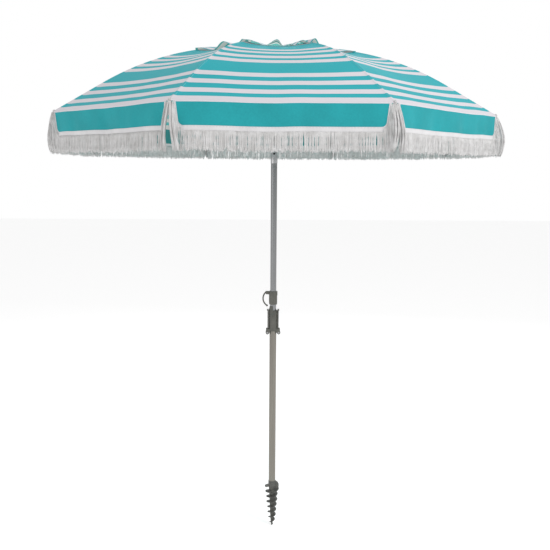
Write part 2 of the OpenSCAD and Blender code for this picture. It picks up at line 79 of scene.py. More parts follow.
FLAP_EDGE = 0.019                        # its side edge from the rib
FLAP_CORNER = 0.019
TAPE_W = 0.0135
FRINGE_L = 0.064

TURQUOISE = (0.020, 0.385, 0.435, 1)
WHITE_STRIPE = (0.66, 0.63, 0.67, 1)
TAPE_WHITE = (0.70, 0.69, 0.70, 1)
COTTON = (0.68, 0.665, 0.655, 1)

THREADS = 1100.0                         # of the woven cloth, to the metre
STITCH = 0.0042
STRIPE_OVER = 0.003                      # white left at the top of a flap
TWIST = 1900.0                           # of a cord, in radians to the metre
GATHER = 0.14                            # width left to the cloth of a folded arm
VENT_GATHER = 0.16


# ---- camera, stage and light
def make_camera():
    data = bpy.data.cameras.new("camera")
    data.lens = 44.35
    data.sensor_width = 36
    camera = bpy.data.objects.new("camera", data)
    bpy.context.scene.collection.objects.link(camera)
    roll = Quaternion((0, 0, 1), 0.0072)
    camera.rotation_mode = "QUATERNION"
    camera.rotation_quaternion = Vector((0.0334, 0.9874, -0.1544)).to_track_quat("-Z", "Y") @ roll
    camera.location = (-0.0957, -3.0529, 1.7026)
    bpy.context.scene.camera = camera


def area_light(name, place, aim, size, power):
    data = bpy.data.lights.new(name, "AREA")
    data.shape = "DISK"
    data.size = size
    data.energy = power
    light = bpy.data.objects.new(name, data)
    light.location = place
    light.rotation_mode = "QUATERNION"
    light.rotation_quaternion = (Vector(aim) - Vector(place)).to_track_quat("-Z", "Y")
    bpy.context.scene.collection.objects.link(light)


def make_stage():
    """A pale floor, a white surround and soft lights."""
    scene = bpy.context.scene
    scene.view_settings.view_transform = "Standard"
    world = bpy.data.worlds.new("studio")
    scene.world = world
    world.use_nodes = True
    nodes, links = world.node_tree.nodes, world.node_tree.links
    nodes["Background"].inputs["Color"].default_value = (1, 1, 1, 1)
    seen = nodes.new("ShaderNodeLightPath")
    level = nodes.new("ShaderNodeMapRange")
    level.inputs["To Min"].default_value = 0.70
    level.inputs["To Max"].default_value = 1.0
    links.new(seen.outputs["Is Camera Ray"], level.inputs["Value"])
    links.new(level.outputs["Result"], nodes["Background"].inputs["Strength"])
    deselect()
    bpy.ops.mesh.primitive_plane_add(size=40)
    floor = bpy.context.object
    floor.name = "floor"
    glow = dict(emission_color=(1, 1, 1, 1), emission_strength=0.3)
    paint(floor, new_finish("floor_paint", (0.92, 0.92, 0.92, 1), 0.9, **glow)[0])
    area_light("key", (2.6, -2.6, 4.2), (0, 0, 1.8), 1.6, 75)
    area_light("fill", (-3.0, -2.4, 2.2), (0, 0, 1.2), 2.4, 12)
    area_light("back", (0.6, 3.4, 3.4), (0, 0, 1.8), 2.0, 45)


# ---- modelling help
def deselect():
    bpy.ops.object.select_all(action="DESELECT")


def take(obj):
    """Makes obj the only selected and the active object."""
    deselect()
    obj.select_set(True)
    bpy.context.view_layer.objects.active = obj
    return obj


def edit(obj, *steps):
    """Runs edit-mode steps, each an operator and its settings, on all of obj."""
    take(obj)
    bpy.ops.object.mode_set(mode="EDIT")
    bpy.ops.mesh.select_all(action="SELECT")
    for operator, settings in steps:
        operator(**settings)
    bpy.ops.object.mode_set(mode="OBJECT")


def modify(obj, kind, **settings):
    """Adds a modifier and applies it."""
    take(obj)
    modifier = obj.modifiers.new(kind.lower(), kind)
    for key, value in settings.items():
        setattr(modifier, key, value)
    bpy.ops.object.modifier_apply(modifier=modifier.name)


def smooth(obj, angle=35):
    take(obj)
    bpy.ops.object.shade_smooth_by_angle(angle=math.radians(angle))
    return obj


def paint(obj, *materials):
    obj.data.materials.clear()
    for material in materials:
        obj.data.materials.append(material)
    return obj


def settle(obj):
    """Puts the object's place into its mesh."""
    take(obj)
    bpy.ops.object.transform_apply(location=True, rotation=True, scale=True)
    return obj


def join(name, *objects):
    deselect()
    for obj in objects:
        obj.select_set(True)
    bpy.context.view_layer.objects.active = objects[0]
    bpy.ops.object.join()
    objects[0].name = name
    return objects[0]


def turned(name, profile, steps=64):
    """Spins a profile of (radius, height) points once round the pole's axis."""
    mesh = bpy.data.meshes.new(name)
    mesh.from_pydata([(r, 0, z) for r, z in profile], [(i, i + 1) for i in range(len(profile) - 1)], [])
    obj = bpy.data.objects.new(name, mesh)
    bpy.context.scene.collection.objects.link(obj)
    edit(obj,
         (bpy.ops.mesh.spin, dict(steps=steps, angle=math.tau, center=(0, 0, 0), axis=(0, 0, 1))),
         (bpy.ops.mesh.select_all, dict(action="SELECT")),
         (bpy.ops.mesh.remove_doubles, dict(threshold=1e-6)),
         (bpy.ops.mesh.normals_make_consistent, dict(inside=False)))
    return obj


def softened(node, name, radius, segments=2, angle=40):
    """A copy of a CAD piece with its edges rounded."""
    obj = NODES[node].copy()
    obj.data = NODES[node].data.copy()
    obj.parent = None
    obj.name = name
    for key in list(obj.keys()):
        del obj[key]
    bpy.context.scene.collection.objects.link(obj)
    take(obj)
    bpy.ops.mesh.customdata_custom_splitnormals_clear()
    edit(obj,
         (bpy.ops.mesh.remove_doubles, dict(threshold=2e-6)),
         (bpy.ops.mesh.dissolve_limited, dict(angle_limit=math.radians(1))))
    modify(obj, "BEVEL", width=radius, segments=segments, limit_method="ANGLE",
           angle_limit=math.radians(angle), use_clamp_overlap=True)
    return smooth(obj, angle)


def keep(obj, body, slot, *nodes):
    """Rides obj on its body in place of the CAD nodes it stands for; slot is not used."""
    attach(obj, body)
    if nodes:
        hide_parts(*nodes)
    return obj


# ---- shader help
def link_or_set(tree, value, socket):
    if isinstance(value, bpy.types.NodeSocket):
        tree.links.new(value, socket)
    else:
        socket.default_value = value


def calc(tree, operation, *values):
    node = tree.nodes.new("ShaderNodeMath")
    node.operation = operation
    for value, socket in zip(values, node.inputs):
        link_or_set(tree, value, socket)
    return node.outputs[0]


def mix(tree, factor, a, b):
    node = tree.nodes.new("ShaderNodeMix")
    node.data_type = "RGBA"
    for value, name in ((factor, "Factor_Float"), (a, "A_Color"), (b, "B_Color")):
        socket = next(s for s in node.inputs if s.identifier == name)
        link_or_set(tree, value, socket)
    return next(s for s in node.outputs if s.identifier == "Result_Color")


def noise(tree, vector, scale, detail=3, stretch=None):
    if stretch:
        mapping = tree.nodes.new("ShaderNodeMapping")
        mapping.inputs["Scale"].default_value = stretch
        tree.links.new(vector, mapping.inputs["Vector"])
        vector = mapping.outputs[0]
    node = tree.nodes.new("ShaderNodeTexNoise")
    link_or_set(tree, scale, node.inputs["Scale"])
    node.inputs["Detail"].default_value = detail
    tree.links.new(vector, node.inputs["Vector"])
    return node.outputs["Fac"]


def spread(tree, value, low, high, to_low, to_high):
    node = tree.nodes.new("ShaderNodeMapRange")
    for x, name in ((value, "Value"), (low, "From Min"), (high, "From Max"),
                    (to_low, "To Min"), (to_high, "To Max")):
        link_or_set(tree, x, node.inputs[name])
    return node.outputs["Result"]


def new_group(name, inputs, outputs):
    tree = bpy.data.node_groups.new(name, "ShaderNodeTree")
    for label, kind in inputs.items():
        tree.interface.new_socket(label, in_out="INPUT", socket_type="NodeSocket" + kind)
    for label, kind in outputs.items():
        tree.interface.new_socket(label, in_out="OUTPUT", socket_type="NodeSocket" + kind)
    given = tree.nodes.new("NodeGroupInput").outputs
    result = tree.nodes.new("NodeGroupOutput").inputs
    return tree, given, result


def place_group(tree, group, **values):
    node = tree.nodes.new("ShaderNodeGroup")
    node.node_tree = group
    for name, value in values.items():
        link_or_set(tree, value, node.inputs[name])
    return node.outputs


def make_weave():
    """Plain weave: threads over and under each other, Threads to the metre."""
    tree, given, result = new_group("weave", {"Vector": "Vector", "Threads": "Float"}, {"Height": "Float"})
    axes = tree.nodes.new("ShaderNodeSeparateXYZ")
    tree.links.new(given["Vector"], axes.inputs[0])
    turn = calc(tree, "MULTIPLY", given["Threads"], math.pi)
    across = calc(tree, "SINE", calc(tree, "MULTIPLY", axes.outputs[0], turn))
    along = calc(tree, "SINE", calc(tree, "MULTIPLY", axes.outputs[1], turn))
    height = calc(tree, "MULTIPLY_ADD", across, along, 1.0)
    tree.links.new(calc(tree, "MULTIPLY", height, 0.5), result["Height"])
    return tree


def make_stitches():
    """A row of stitches, Pitch apart, along a line where Distance is zero."""
    tree, given, result = new_group(
        "stitches", {"Distance": "Float", "Along": "Float", "Pitch": "Float"}, {"Mask": "Float"})
    near = calc(tree, "LESS_THAN", calc(tree, "ABSOLUTE", given["Distance"]), 0.0007)
    step = calc(tree, "FRACT", calc(tree, "DIVIDE", given["Along"], given["Pitch"]))
    tree.links.new(calc(tree, "MULTIPLY", near, calc(tree, "LESS_THAN", step, 0.62)), result["Mask"])
    return tree


def make_mottle():
    """Uneven colour: broad clouds with fine specks in them."""
    tree, given, result = new_group(
        "mottle", {"Vector": "Vector", "Broad": "Float", "Fine": "Float"}, {"Value": "Float"})
    broad = noise(tree, given["Vector"], given["Broad"], 2)
    fine = noise(tree, given["Vector"], given["Fine"], 4)
    total = calc(tree, "ADD", calc(tree, "MULTIPLY", broad, 0.65), calc(tree, "MULTIPLY", fine, 0.35))
    tree.links.new(total, result["Value"])
    return tree


def make_drawn():
    """Fine lines along Z, as on a drawn or extruded tube."""
    tree, given, result = new_group("drawn_lines", {"Vector": "Vector"}, {"Value": "Float"})
    lines = noise(tree, given["Vector"], 1.0, 5, stretch=(900, 900, 6))
    bands = noise(tree, given["Vector"], 1.0, 2, stretch=(60, 60, 2))
    total = calc(tree, "ADD", calc(tree, "MULTIPLY", lines, 0.6), calc(tree, "MULTIPLY", bands, 0.4))
    tree.links.new(total, result["Value"])
    return tree


def make_scuffs():
    """Patches of small scratches and rubbed spots; Amount from 0 to 1."""
    tree, given, result = new_group("scuffs", {"Vector": "Vector", "Amount": "Float"}, {"Mask": "Float"})
    patches = noise(tree, given["Vector"], 28.0, 3)
    scratches = noise(tree, given["Vector"], 1.0, 6, stretch=(260, 260, 900))
    both = calc(tree, "MULTIPLY", patches, scratches)
    edge = calc(tree, "SUBTRACT", 0.42, calc(tree, "MULTIPLY", given["Amount"], 0.18))
    tree.links.new(spread(tree, both, edge, calc(tree, "ADD", edge, 0.08), 0.0, 1.0), result["Mask"])
    return tree


def make_grain():
    """Fine leathery grain of moulded plastic."""
    tree, given, result = new_group("moulded_grain", {"Vector": "Vector"}, {"Height": "Float"})
    cells = tree.nodes.new("ShaderNodeTexVoronoi")
    cells.inputs["Scale"].default_value = 1100
    tree.links.new(given["Vector"], cells.inputs["Vector"])
    soft = noise(tree, given["Vector"], 420.0, 3)
    tree.links.new(calc(tree, "ADD", cells.outputs["Distance"], soft), result["Height"])
    return tree


GROUPS = dict(weave=make_weave(), stitches=make_stitches(), mottle=make_mottle(),
              drawn=make_drawn(), scuffs=make_scuffs(), grain=make_grain())


def new_finish(name, color, roughness, **settings):
    """A material, its tree and its Principled BSDF, with the settings that are even all over."""
    material = bpy.data.materials.new(name)
    material.use_nodes = True
    tree = material.node_tree
    shader = tree.nodes["Principled BSDF"]
    shader.inputs["Base Color"].default_value = color
    shader.inputs["Roughness"].default_value = roughness
    for key, value in settings.items():
        shader.inputs[key.replace("_", " ").title().replace("Ior", "IOR")].default_value = value
    return material, tree, shader.inputs


def object_space(tree):
    return tree.nodes.new("ShaderNodeTexCoord").outputs["Object"]


def bump(tree, height, inputs, distance, strength=0.6, after=None):
    node = tree.nodes.new("ShaderNodeBump")
    node.inputs["Distance"].default_value = distance
    node.inputs["Strength"].default_value = strength
    tree.links.new(height, node.inputs["Height"])
    if after:
        tree.links.new(after, node.inputs["Normal"])
    tree.links.new(node.outputs[0], inputs["Normal"])
    return node.outputs[0]


# ---- finishes
def arc(r):
    """Length of cloth along a rib, from the crown to radius r."""
    if r <= STRAIGHT:
        return r
    if r <= BEND_END:
        return STRAIGHT + BEND_R * math.asin((r - STRAIGHT) / BEND_R)
    return STRAIGHT + BEND_R * BEND + (r - BEND_END) / math.cos(BEND)


STRIPE_W = 0.030                         # stripes as shares of the ribs' length
STRIPES = (0.285, 0.345, 0.506, 0.564, 0.625, 0.681, 0.803, 0.861, 0.922, 0.980)


def stripe_mask(tree, along):
    """1 on the white stripes that run round the canopy, from a ramp over the length along a rib."""
    ramp = tree.nodes.new("ShaderNodeValToRGB")
    ramp.color_ramp.interpolation = "CONSTANT"
    stops = ramp.color_ramp.elements
    full = arc(EDGE) + 0.02
    edges = [(0.0, 0)]
    for start in STRIPES:
        edges += [(arc(start * RIM), 1), (arc((start + STRIPE_W) * RIM), 0)]
    edges[-1] = (full, 1)
    while len(stops) < len(edges):
        stops.new(1)
    for stop, (place, value) in zip(stops, edges):
        stop.position = place / full
        stop.color = (value, value, value, 1)
    tree.links.new(calc(tree, "DIVIDE", along, full), ramp.inputs["Fac"])
    return ramp.outputs["Color"]


def cloth_map(tree):
    """The piece's own map in metres, and its two lengths apart."""
    node = tree.nodes.new("ShaderNodeUVMap")
    node.uv_map = "cut"
    axes = tree.nodes.new("ShaderNodeSeparateXYZ")
    tree.links.new(node.outputs[0], axes.inputs[0])
    return node.outputs[0], axes.outputs[0], axes.outputs[1]


def make_striped_cloth(name, turquoise, white, glow=0.0):
    """Woven canopy cloth with stripes, a felled seam over each rib and stitches beside it."""
    material, tree, inputs = new_finish(name, turquoise, 0.82, sheen_weight=0.08, sheen_roughness=0.45,
                                        specular_ior_level=0.25, emission_strength=glow)
    vector, across, along = cloth_map(tree)
    stripes = stripe_mask(tree, along)
    clouds = place_group(tree, GROUPS["mottle"], Vector=object_space(tree), Broad=5.0, Fine=160.0)["Value"]
    color = mix(tree, stripes, turquoise, white)
    dark = tuple(c * 0.80 for c in turquoise[:3]) + (1,)
    shaded = mix(tree, spread(tree, clouds, 0.35, 0.65, 0.0, 0.30), color,
                 mix(tree, stripes, dark, tuple(c * 0.88 for c in white[:3]) + (1,)))
    seam = calc(tree, "ABSOLUTE", across)
    line = place_group(tree, GROUPS["stitches"], Distance=calc(tree, "SUBTRACT", seam, 0.0045),
                       Along=along, Pitch=STITCH)["Mask"]
    hem = place_group(tree, GROUPS["stitches"], Along=across, Pitch=STITCH,
                      Distance=calc(tree, "SUBTRACT", along, arc(EDGE) - 0.012))["Mask"]
    thread = calc(tree, "MAXIMUM", line, hem)
    color = mix(tree, calc(tree, "MULTIPLY", thread, 0.35), shaded, white)
    tree.links.new(color, inputs["Base Color"])
    if glow:                             # daylight comes through the cloth
        tree.links.new(color, inputs["Emission Color"])
    weave = place_group(tree, GROUPS["weave"], Vector=vector, Threads=THREADS)["Height"]
    fold = spread(tree, seam, 0.0040, 0.0052, 1.0, 0.0)
    normal = bump(tree, calc(tree, "ADD", fold, calc(tree, "MULTIPLY", thread, -0.5)), inputs, 0.0006, 0.7)
    bump(tree, weave, inputs, 0.00016, 0.35, after=normal)
    tree.links.new(spread(tree, weave, 0.0, 1.0, 0.87, 0.76), inputs["Roughness"])
    return material


def make_flap_cloth(name, color):
    """The valance's woven cloth, with the last white stripe just over its top edge."""
    material, tree, inputs = new_finish(name, color, 0.82, sheen_weight=0.08, sheen_roughness=0.45,
                                        specular_ior_level=0.25)
    vector, _, along = cloth_map(tree)
    clouds = place_group(tree, GROUPS["mottle"], Vector=object_space(tree), Broad=9.0, Fine=160.0)["Value"]
    dark = tuple(c * 0.74 for c in color[:3]) + (1,)
    tone = mix(tree, spread(tree, clouds, 0.35, 0.65, 0.0, 0.6), color, dark)
    band = calc(tree, "LESS_THAN", along, STRIPE_OVER)
    tree.links.new(mix(tree, band, tone, WHITE_STRIPE), inputs["Base Color"])
    weave = place_group(tree, GROUPS["weave"], Vector=vector, Threads=THREADS)["Height"]
    bump(tree, weave, inputs, 0.00016, 0.35)
    tree.links.new(spread(tree, weave, 0.0, 1.0, 0.86, 0.76), inputs["Roughness"])
    return material


def make_tape():
    """White ribbed tape that binds the flaps, with a row of stitches along it."""
    material, tree, inputs = new_finish("tape_cotton", TAPE_WHITE, 0.85, sheen_weight=0.3,
                                        specular_ior_level=0.2)
    _, across, along = cloth_map(tree)
    ribs = calc(tree, "SINE", calc(tree, "MULTIPLY", across, 2400.0))
    line = place_group(tree, GROUPS["stitches"], Distance=calc(tree, "SUBTRACT", along, 0.0025),
                       Along=across, Pitch=0.0036)["Mask"]
    clouds = place_group(tree, GROUPS["mottle"], Vector=object_space(tree), Broad=20.0, Fine=300.0)["Value"]
    grey = mix(tree, spread(tree, clouds, 0.35, 0.65, 0.0, 0.5), TAPE_WHITE, (0.56, 0.55, 0.56, 1))
    tree.links.new(mix(tree, calc(tree, "MULTIPLY", line, 0.5), grey, (0.45, 0.44, 0.45, 1)),
                   inputs["Base Color"])
    bump(tree, calc(tree, "SUBTRACT", ribs, line), inputs, 0.0003, 0.4)
    tree.links.new(spread(tree, clouds, 0.3, 0.7, 0.8, 0.9), inputs["Roughness"])
    return material


def make_cotton():
    """Twisted cotton of the fringe, with painted shade in the grooves of its twist; the twist follows each
    cord's own map.
    """
    material, tree, inputs = new_finish("fringe_cotton", COTTON, 0.9, sheen_weight=0.35,
                                        sheen_roughness=0.5, specular_ior_level=0.15)
    _, around, along = cloth_map(tree)
    rise = calc(tree, "MULTIPLY", along, TWIST)
    turn = calc(tree, "MULTIPLY_ADD", around, math.tau * 2, rise)
    twist = calc(tree, "SINE", turn)
    clouds = place_group(tree, GROUPS["mottle"], Vector=object_space(tree), Broad=45.0, Fine=420.0)["Value"]
    light = (0.86, 0.85, 0.85, 1)
    tone = mix(tree, spread(tree, clouds, 0.38, 0.62, 0.0, 1.0), COTTON, light)
    # painted shade: the grooves of the twist are darkened towards a mid grey
    groove_shade = spread(tree, twist, -1.0, 0.3, 0.75, 0.0)
    tree.links.new(mix(tree, groove_shade, tone, (0.42, 0.42, 0.42, 1)), inputs["Base Color"])
    bump(tree, twist, inputs, 0.0005, 0.8)
    tree.links.new(spread(tree, clouds, 0.3, 0.7, 0.85, 0.95), inputs["Roughness"])
    return material


def make_metal(name, color, roughness, rub, lines=0.0001, **settings):
    """Drawn metal: fine lines along the tube, dull and bright streaks, rubbed spots."""
    material, tree, inputs = new_finish(name, color, roughness, metallic=1.0, **settings)
    place = object_space(tree)
    drawn = place_group(tree, GROUPS["drawn"], Vector=place)["Value"]
    scuffed = place_group(tree, GROUPS["scuffs"], Vector=place, Amount=rub)["Mask"]
    dull = tuple(c * 0.82 for c in color[:3]) + (1,)
    tone = mix(tree, spread(tree, drawn, 0.35, 0.65, 0.0, 1.0), color, dull)
    pale = tuple(min(1, c * 1.12) for c in color[:3]) + (1,)
    tree.links.new(mix(tree, calc(tree, "MULTIPLY", scuffed, 0.5), tone, pale), inputs["Base Color"])
    rough = spread(tree, drawn, 0.3, 0.7, roughness * 0.85, roughness * 1.2)
    tree.links.new(calc(tree, "ADD", rough, calc(tree, "MULTIPLY", scuffed, 0.12)), inputs["Roughness"])
    bump(tree, drawn, inputs, lines, 0.5)
    return material


def make_plastic(name, color, roughness, wear, worn, grain=0.00012):
    """Moulded plastic: grained, unevenly dull, and rubbed paler where it is handled."""
    material, tree, inputs = new_finish(name, color, roughness, specular_ior_level=0.42)
    place = object_space(tree)
    clouds = place_group(tree, GROUPS["mottle"], Vector=place, Broad=30.0, Fine=500.0)["Value"]
    scuffed = place_group(tree, GROUPS["scuffs"], Vector=place, Amount=wear)["Mask"]
    deep = tuple(c * 0.8 for c in color[:3]) + (1,)
    tone = mix(tree, spread(tree, clouds, 0.35, 0.65, 0.0, 1.0), color, deep)
    tree.links.new(mix(tree, calc(tree, "MULTIPLY", scuffed, 0.55), tone, worn), inputs["Base Color"])
    rough = spread(tree, clouds, 0.3, 0.7, roughness - 0.07, roughness + 0.07)
    tree.links.new(calc(tree, "ADD", rough, calc(tree, "MULTIPLY", scuffed, 0.15)), inputs["Roughness"])
    height = place_group(tree, GROUPS["grain"], Vector=place)["Height"]
    bump(tree, height, inputs, grain, 0.5)
    return material


CANOPY_TOP = make_striped_cloth("canopy_cloth_top", TURQUOISE, WHITE_STRIPE)
# painted shade: the canopy's underside is a darker, greyer copy of its top cloth, and its glow is painted
# light for daylight through the cloth
CANOPY_UNDER_SHADED = make_striped_cloth("canopy_cloth_under_shaded", (0.070, 0.330, 0.320, 1),
                                  (0.46, 0.47, 0.45, 1), glow=0.2)
# painted shade: the vent cap's underside is a darker, greyer copy of the top cloth, with a stronger glow of
# painted light for daylight through it
VENT_UNDER_SHADED = make_striped_cloth("vent_cloth_under_shaded", (0.090, 0.380, 0.350, 1),
                                (0.52, 0.55, 0.52, 1), glow=0.5)
# painted shade: the valance's turquoise is a darker copy of the canopy's turquoise
FLAP_OUT = make_flap_cloth("flap_cloth", (0.018, 0.345, 0.380, 1))
# painted shade: the flaps' inside is a darker, greyer copy of their outside cloth
FLAP_IN_SHADED = make_flap_cloth("flap_cloth_inside_shaded", (0.045, 0.270, 0.270, 1))
TAPE = make_tape()
FRINGE = make_cotton()
POLE_METAL = make_metal("pole_aluminium", (0.30, 0.305, 0.31, 1), 0.25, 0.15)
LOWER_METAL = make_metal("lower_pole_aluminium", (0.27, 0.253, 0.225, 1), 0.34, 0.45)
SLEEVE_METAL = make_metal("polished_sleeve", (0.62, 0.62, 0.63, 1), 0.12, 0.1, 0.00004)
ZINC = make_metal("zinc_steel", (0.60, 0.61, 0.62, 1), 0.34, 0.3)
SPRING = make_metal("spring_steel", (0.66, 0.66, 0.67, 1), 0.25, 0.1)
CASTING = make_metal("cast_tongue", (0.42, 0.42, 0.43, 1), 0.45, 0.5, 0.0002)
FITTING = make_plastic("fitting_plastic", (0.125, 0.122, 0.106, 1), 0.50, 0.35, (0.22, 0.215, 0.195, 1))
AUGER = make_plastic("auger_plastic", (0.095, 0.095, 0.088, 1), 0.55, 0.75, (0.24, 0.23, 0.20, 1), 0.0002)
BLACK = make_plastic("button_plastic", (0.022, 0.022, 0.023, 1), 0.38, 0.2, (0.08, 0.08, 0.08, 1))
HUB = make_plastic("hub_plastic", (0.050, 0.052, 0.052, 1), 0.48, 0.3, (0.13, 0.13, 0.13, 1))


# ---- the cloth's shape
def azimuth(k):
    """Where rib k stands round the pole, the front panel lying between ribs 1 and 2."""
    return math.radians(247.5 + 45 * (k - 1))


def heading(angle):
    """The level direction at an angle round the pole."""
    return Vector((math.cos(angle), math.sin(angle), 0))


def drop(r):
    """How far a rib lies below the crown at radius r: level, then bent, then straight."""
    if r <= STRAIGHT:
        return 0.0
    if r <= BEND_END:
        return BEND_R - math.sqrt(BEND_R ** 2 - (r - STRAIGHT) ** 2)
    return BEND_R * (1 - math.cos(BEND)) + (r - BEND_END) * math.tan(BEND)


def creases(k, side, from_centre, r):
    """Slack of the cloth in one gore: soft tension folds, the same from both sides of its middle."""
    gore = k if side > 0 else (k - 2) % 8 + 1
    place = from_centre * (-1 if side > 0 else 1)
    folds = random.Random(gore * 17)
    height = 0.0
    for wave in (14, 23, 37, 55):
        lean, phase = folds.uniform(-0.5, 0.5) * wave, folds.uniform(0, math.tau)
        height += folds.uniform(0.5, 1.0) * 12 / wave * math.sin(place * wave + r * lean + phase)
    return 0.0011 * height


def cloth_point(k, r, u, lift=0.0):
    """A point of the cloth at radius r, u from -1 to 1 across the sector of rib k."""
    side, share = (1 if u >= 0 else -1), abs(u)
    across = share * r * math.sin(HALF)
    slack = (SAG * math.sin(math.pi * min(1, r / RIM) ** 0.85) + 0.002 * r / RIM) * (1 - (1 - share) ** 2)
    ridge = 0.0024 * math.exp(-(across / 0.0065) ** 2) * min(1, r / 0.2)
    folds = creases(k, side, r * math.sin(HALF) - across, r) * min(1, 3 * share) * min(1, r / 0.4)
    flat = Vector((r - across * math.sin(HALF), side * across * math.cos(HALF), 0))
    flat.rotate(Matrix.Rotation(azimuth(k), 3, "Z"))
    return flat + Vector((0, 0, CROWN_Z - drop(r) - slack + folds + ridge + lift))


def vent_arches():
    """The lifts of the vent cap's hem, as (azimuth, lift): arches between puckers all round."""
    front = [(206, 11), (220, 1), (230, 28), (241, 0), (252, 14), (256, 9), (261, 0), (270, 25),
             (274, 0), (279, 8), (281, 1), (286, 17), (291, 3), (294.5, 21), (300, 0), (305.5, 7),
             (310.5, 0), (321, 3), (330, 9), (340, 0)]
    pleats = random.Random(5)
    back, place = [], 352.0
    while place < 560:
        back += [(place, pleats.uniform(7, 24)), (place + pleats.uniform(5, 8), pleats.uniform(0, 2))]
        place = back[-1][0] + pleats.uniform(6, 11)
    return [(math.radians(a), lift / 1000) for a, lift in front + back]


ARCHES = vent_arches()


def hem_lift(angle):
    """Lift of the vent cap's hem at an angle, eased between the arches and the puckers."""
    first = ARCHES[0][0]
    angle = (angle - first) % math.tau + first
    ring = ARCHES + [(first + math.tau, ARCHES[0][1])]
    for (a, low), (b, high) in zip(ring, ring[1:]):
        if a <= angle <= b:
            share = (angle - a) / (b - a)
            return low + (high - low) * (1 - math.cos(math.pi * share)) / 2
    return 0.0


def fitted_grid(name, columns, rows, shape, out):
    """A grid primitive laid on a surface; shape gives the point and its place on the flat cut."""
    deselect()
    bpy.ops.mesh.primitive_grid_add(x_subdivisions=columns, y_subdivisions=rows, size=2)
    obj = bpy.context.object
    obj.name = name
    mesh = obj.data
    cuts = []
    for vertex in mesh.vertices:
        vertex.co, cut = shape((vertex.co.x + 1) / 2, (vertex.co.y + 1) / 2)
        cuts.append(cut)
    layer = mesh.uv_layers.active
    layer.name = "cut"
    for loop in mesh.loops:
        layer.data[loop.index].uv = cuts[loop.vertex_index]
    mesh.update()
    if sum((p.normal for p in mesh.polygons), Vector()).dot(out) < 0:
        edit(obj, (bpy.ops.mesh.flip_normals, {}))
    return obj


def thicken(obj, thickness, offset=-1.0, inner=0):
    modify(obj, "SOLIDIFY", thickness=thickness, offset=offset, use_even_offset=True, material_offset=inner)
    return smooth(obj, 60)


def soft(obj, k, body, slot, node, gather):
    """Cloth that rides an arm, on a mesh of its own; gather is not used."""
    keep(obj, body, slot, *([node] if node else []))
    around = heading(azimuth(k) + math.pi / 2)
    heading(azimuth(k)) * RIM / 2
    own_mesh(obj)


# ---- canopy
def across_sector(a):
    """From one gore's middle to the next for a from 0 to 1, closer together at the rib between."""
    u = 1 - 2 * a
    return 1.0015 * u * abs(u) ** 0.5


def make_panel(k):
    """The sector of the main canopy from half a gore before rib k to half a gore after it."""
    def shape(a, b):
        u = across_sector(a)
        r = PANEL_IN + (EDGE - PANEL_IN) * b
        return cloth_point(k, r, u), (u * r * math.sin(HALF), arc(r))
    panel = fitted_grid(f"panel_{k}", 52, 64, shape, Vector((0, 0, 1)))
    paint(panel, CANOPY_TOP, CANOPY_UNDER_SHADED)
    thicken(panel, CLOTH, inner=1)
    soft(panel, k, f"rib_arm_{k}", "canopy_cloth", f"canopy_{k}", GATHER)


def make_vent(k):
    """The same sector of the vent cap, whose hem stands up in arches."""
    def shape(a, b):
        u = across_sector(a)
        r = 0.008 + (VENT_R - 0.008) * b
        point = cloth_point(k, r, u)
        angle = math.atan2(point.y, point.x)
        rise = max(0.0, (r - 0.17) / (VENT_R - 0.17)) ** 1.6
        point.z += 0.0016 + hem_lift(angle) * rise
        return point, (u * r * math.sin(HALF), arc(r))
    vent = fitted_grid(f"vent_cap_{k}", 64, 40, shape, Vector((0, 0, 1)))
    paint(vent, CANOPY_TOP, VENT_UNDER_SHADED)
    thicken(vent, CLOTH, inner=1)
    soft(vent, k, f"rib_arm_{k}", "canopy_cloth", None, VENT_GATHER)


# ---- valance
HALF_CHORD = EDGE * math.sin(HALF)
FLAP_SLANT = 0.007
PARTING = {1: 0.016, 2: 0.006}           # how far the bunches at a rib part at their bottom
FULLNESS = {8: 0.6, 1: 0.7}              # how far they stand out, against the others


def ripple(k, side, s, down):
    """How far a hanging flap stands out from its chord, more towards its bottom."""
    gore = k if side > 0 else (k - 2) % 8 + 1
    place = (HALF_CHORD - s) * (-1 if side > 0 else 1)
    folds = random.Random(gore * 31)
    total = 0.0
    for wave in (19, 34, 58, 96):
        total += folds.uniform(0.5, 1.0) * 20 / wave * math.sin(place * wave + folds.uniform(0, math.tau))
    return 0.0012 + 0.0040 * (max(0.0, down) / FLAP_H) ** 0.8 * total


def flap_point(k, side, s, down, out=0.0):
    """A point s along the rim from rib k towards the gore's middle, and down from the rim."""
    top = cloth_point(k, EDGE, side * min(1.002, max(0.0, s) / HALF_CHORD))
    outward = heading(azimuth(k) + side * HALF)
    stand = ripple(k, side, s, min(down, 0.16)) * min(1, max(0.0, s) / 0.05)
    return top + outward * (stand + out) - Vector((0, 0, down))


def flap_outline(t):
    """The coloured flap's edge from its top by the rib to the gore's middle, t from 0 to 3."""
    side_end = FLAP_H - FLAP_CORNER
    if t <= 1:
        return FLAP_EDGE + FLAP_SLANT * t, side_end * t, (-1, 0)
    if t <= 2:
        turn = (t - 1) * math.pi / 2
        centre = FLAP_EDGE + FLAP_SLANT + FLAP_CORNER
        return (centre - FLAP_CORNER * math.cos(turn), side_end + FLAP_CORNER * math.sin(turn),
                (-math.cos(turn), math.sin(turn)))
    start = FLAP_EDGE + FLAP_SLANT + FLAP_CORNER
    return start + (HALF_CHORD * 1.001 - start) * (t - 2), FLAP_H, (0, 1)


